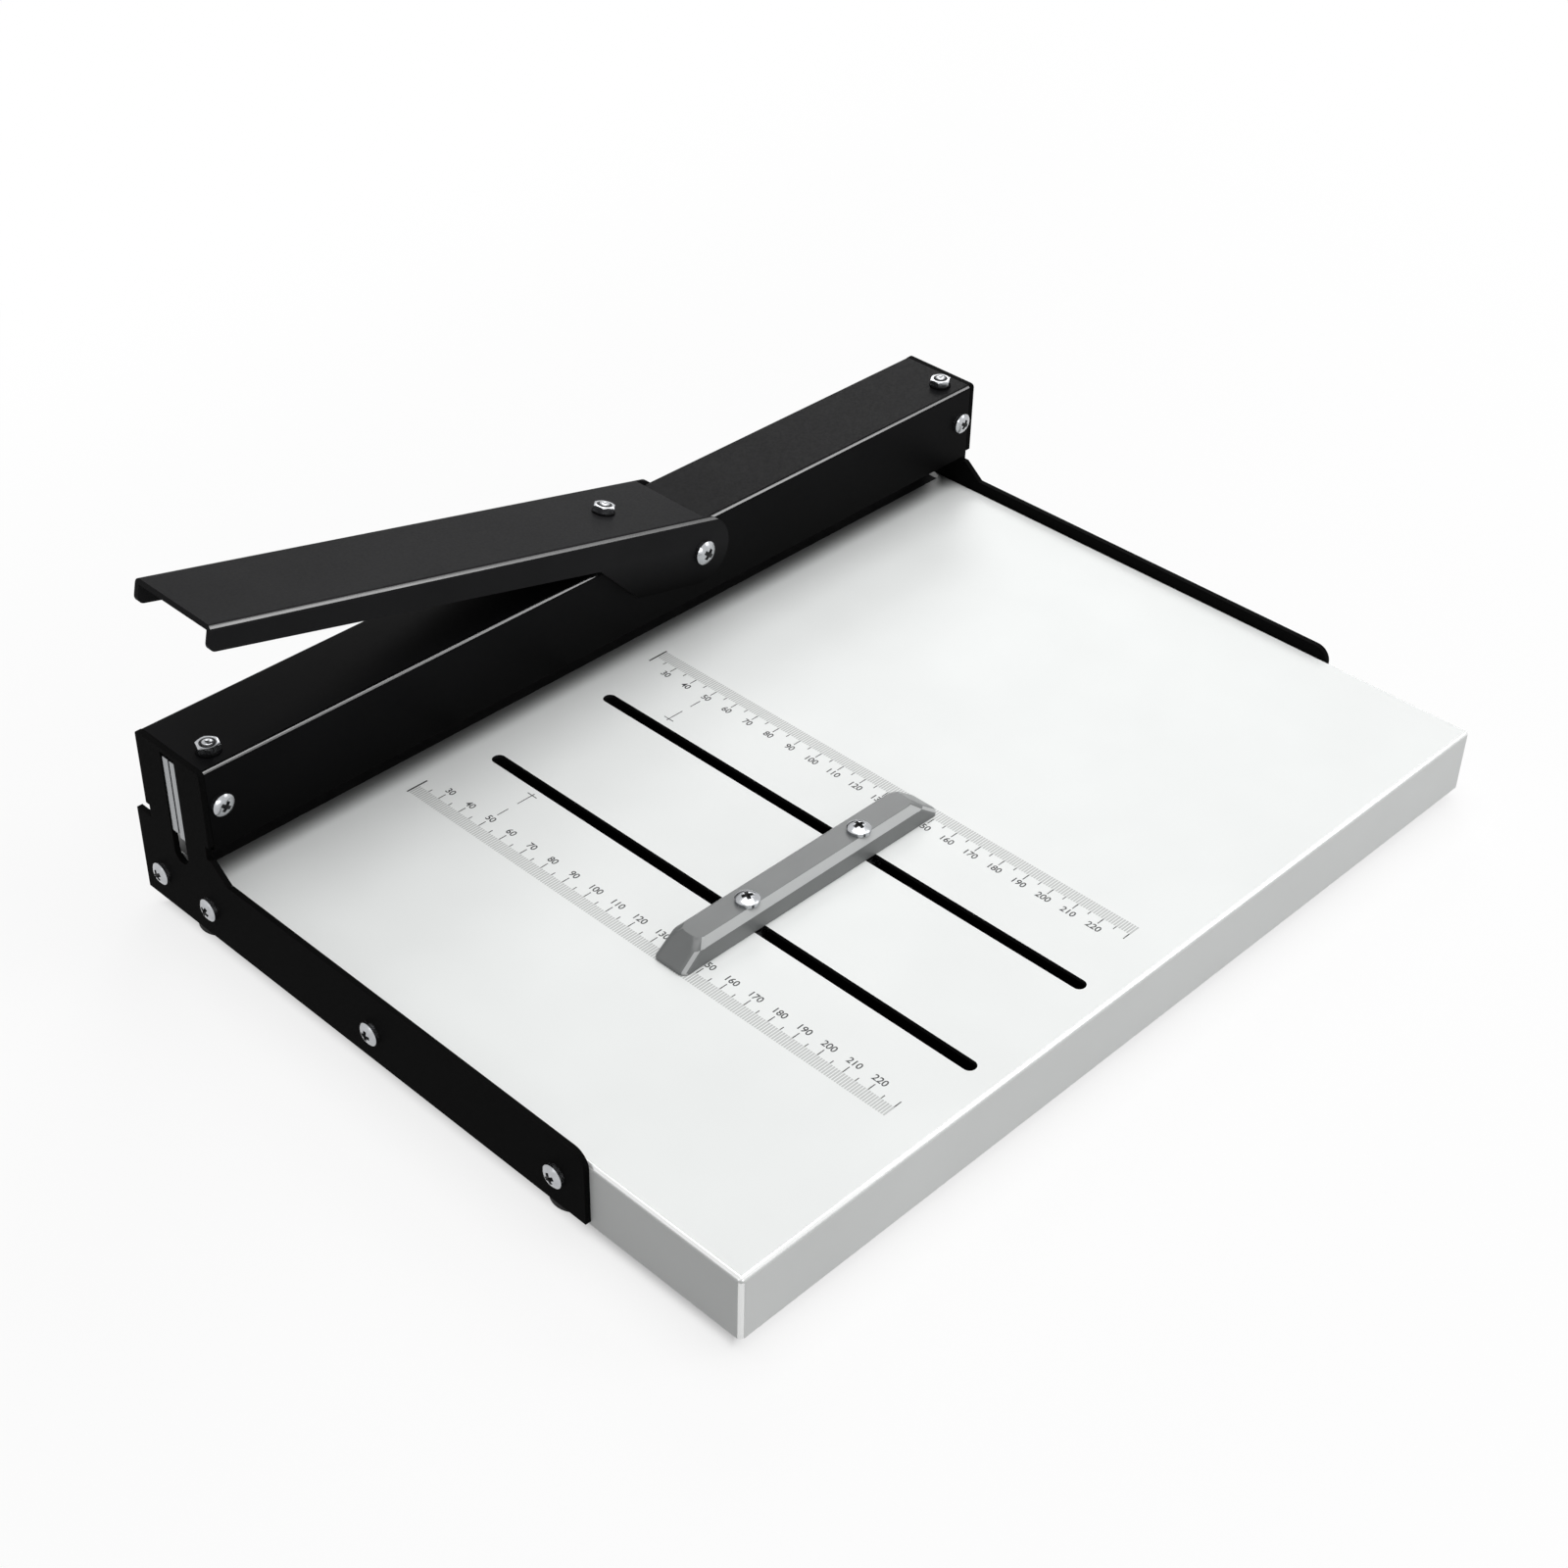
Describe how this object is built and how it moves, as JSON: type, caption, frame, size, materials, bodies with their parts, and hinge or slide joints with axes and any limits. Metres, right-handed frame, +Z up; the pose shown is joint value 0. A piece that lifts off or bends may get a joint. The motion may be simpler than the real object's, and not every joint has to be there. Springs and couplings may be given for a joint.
{
  "type": "manual creasing machine",
  "caption": "Desk paper creasing machine: a hand lever on a covered beam presses a blunt blade into a grooved die in a flat table with a sliding paper stop.",
  "frame": {"origin": "centre of the machine's footprint, on the surface that its feet stand on", "axes": "+X along the beam, with the lever's free end towards -X; +Y to the rear; +Z up"},
  "size_m": [0.3612, 0.268, 0.1218],
  "materials": {
    "table_enamel": "satin white",
    "black_powder_coat": "satin powder coat",
    "ground_steel": "ground",
    "bright_zinc": "zinc plated",
    "spring_steel": "drawn wire",
    "foot_rubber": "matte",
    "nylon": "moulded",
    "stop_enamel": "satin grey"
  },
  "bodies": {
    "frame": {"table_top": "table_enamel", "left_side_plate": "black_powder_coat", "right_side_plate": "black_powder_coat", "side_plate_screws": "bright_zinc", "side_plate_nuts": "bright_zinc", "rubber_feet": "foot_rubber", "foot_screws": "bright_zinc", "foot_nuts": "bright_zinc", "die_bed": "ground_steel", "creasing_die": "ground_steel", "die_screws": "bright_zinc", "beam_cover": "black_powder_coat", "cover_screws": "bright_zinc", "pivot_screws": "bright_zinc", "pivot_bosses": "bright_zinc", "pivot_washers": "nylon", "guide_studs": "bright_zinc", "guide_nuts": "bright_zinc", "guide_washers": "bright_zinc", "spring_seat_nuts": "bright_zinc", "return_spring_left": "spring_steel", "return_spring_right": "spring_steel"},
    "lever": {"lever": "black_powder_coat", "press_stud": "bright_zinc", "press_stud_nut": "bright_zinc", "press_stud_washer": "bright_zinc"},
    "blade": {"blade_front_clamp": "ground_steel", "blade_rear_clamp": "ground_steel", "creasing_blade": "ground_steel", "blade_clamp_screws": "bright_zinc", "press_pad": "ground_steel", "spring_lugs": "ground_steel"},
    "stop": {"stop_bar": "stop_enamel", "stop_screws": "bright_zinc", "stop_slide_washers": "nylon", "stop_slide_nuts": "bright_zinc"}
  },
  "joints": [
    {"name": "lever_press", "type": "hinge", "parent": "frame", "child": "lever", "pos_m": [0.0314, 0.1115, 0.0612], "axis": [0, -1, 0], "range_deg": [0, 11]},
    {"name": "blade_slide", "type": "slide", "parent": "frame", "child": "blade", "axis": [0, 0, -1], "range_m": [0, 0.00624], "stiffness_N_per_m": 2000, "springref_m": -0.012, "deforming": ["return_spring_left", "return_spring_right"]},
    {"name": "stop_slide", "type": "slide", "parent": "frame", "child": "stop", "axis": [0, 1, 0], "range_m": [-0.09, 0.115]}
  ],
  "couplings": [
    {"joint": "blade_slide", "follows": "lever_press", "m_per_rad": 0.032388}
  ]
}
